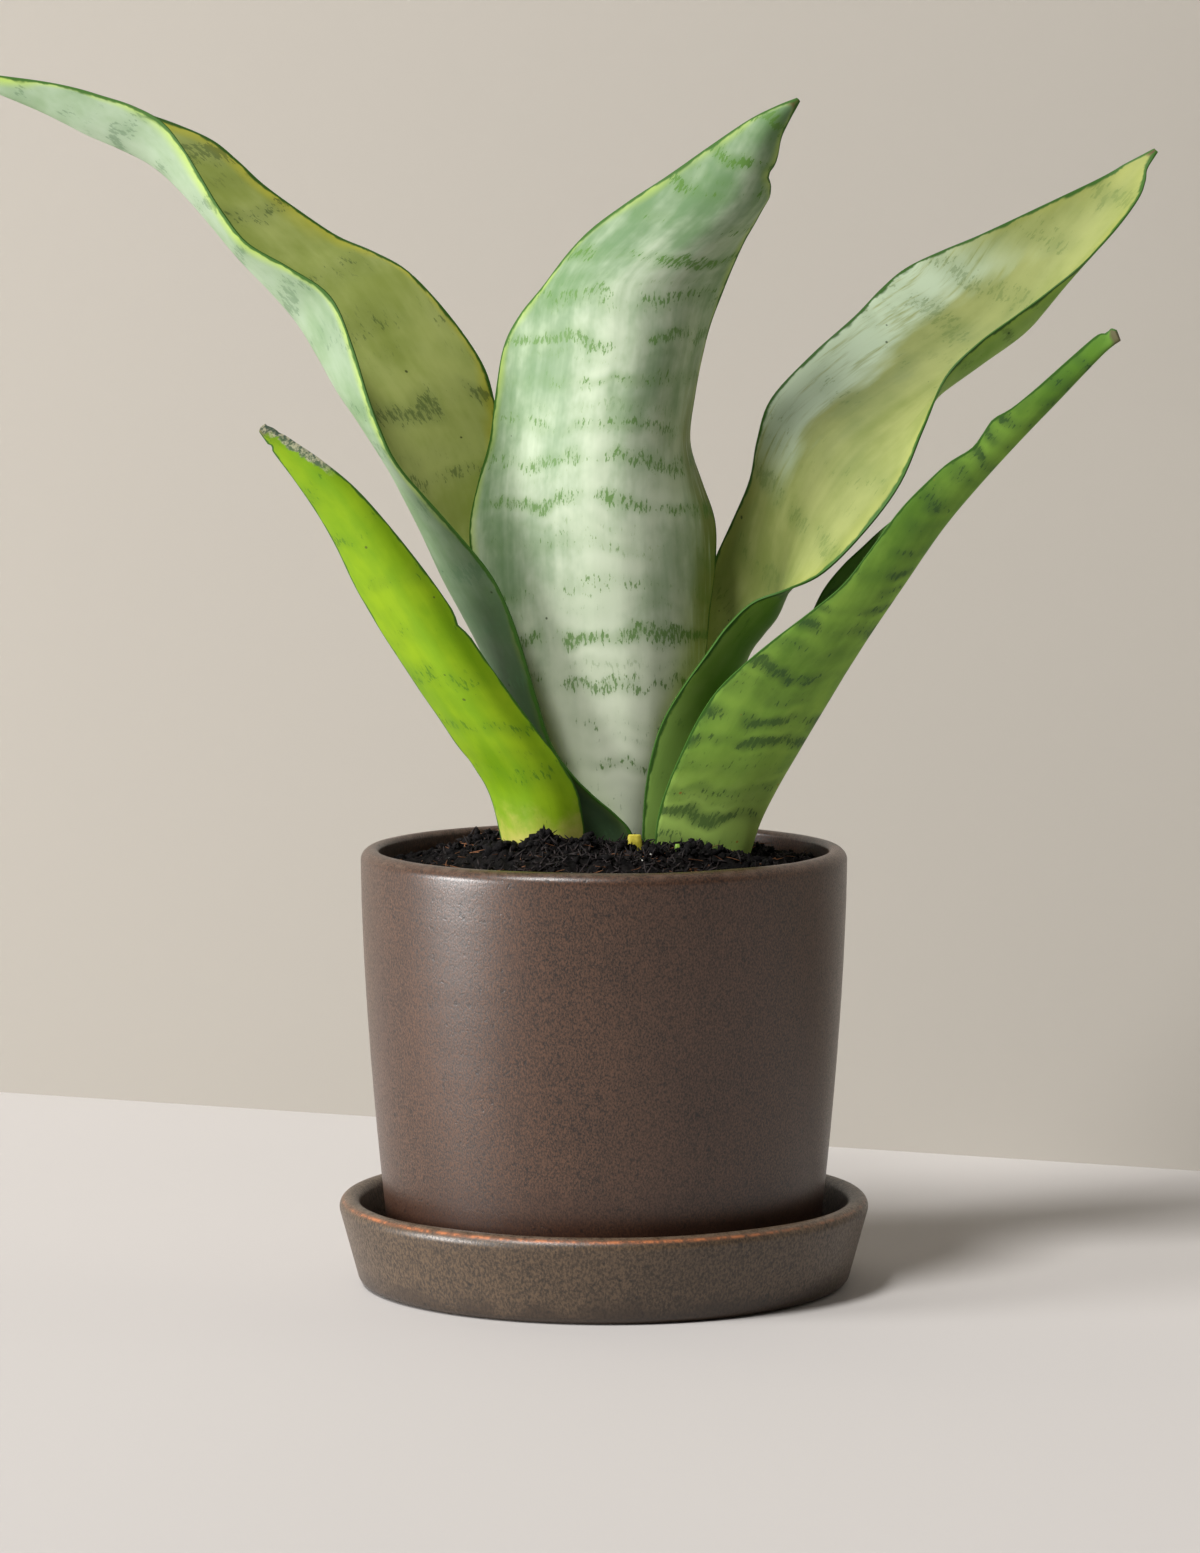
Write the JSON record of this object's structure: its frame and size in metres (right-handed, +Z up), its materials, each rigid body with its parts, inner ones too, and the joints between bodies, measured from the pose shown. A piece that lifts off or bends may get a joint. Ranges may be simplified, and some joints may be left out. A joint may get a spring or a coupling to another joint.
{
  "type": "potted snake plant",
  "caption": "Snake plant with broad silvery green leaves in a round brown stoneware pot, standing on its own saucer.",
  "frame": {"origin": "centre of the saucer's flat underside, on the pot's axis", "axes": "+Z up along the axis of the pot and saucer; +X to the right, the way the right-hand leaves lean; -Y to the front, the side that the centre leaf shows its back to"},
  "size_m": [0.3728, 0.1638, 0.3737],
  "materials": {
    "stoneware": "satin",
    "peat": "matte",
    "leaf_olive": "satin",
    "leaf_silver": "satin",
    "leaf_lime": "satin",
    "leaf_deep": "satin",
    "bract": "matte",
    "rhizome": "matte"
  },
  "bodies": {
    "root": {"pot": "stoneware", "saucer": "stoneware", "soil": "peat", "leaf_left_tall": "leaf_olive", "leaf_right_tall": "leaf_olive", "leaf_centre": "leaf_silver", "leaf_left_short": "leaf_lime", "leaf_right_short": "leaf_deep", "bract_front": "bract", "bract_right": "bract", "rhizome": "rhizome", "root_1": "rhizome", "root_2": "rhizome", "root_3": "rhizome", "root_4": "rhizome", "root_5": "rhizome", "root_6": "rhizome"}
  },
  "joints": []
}
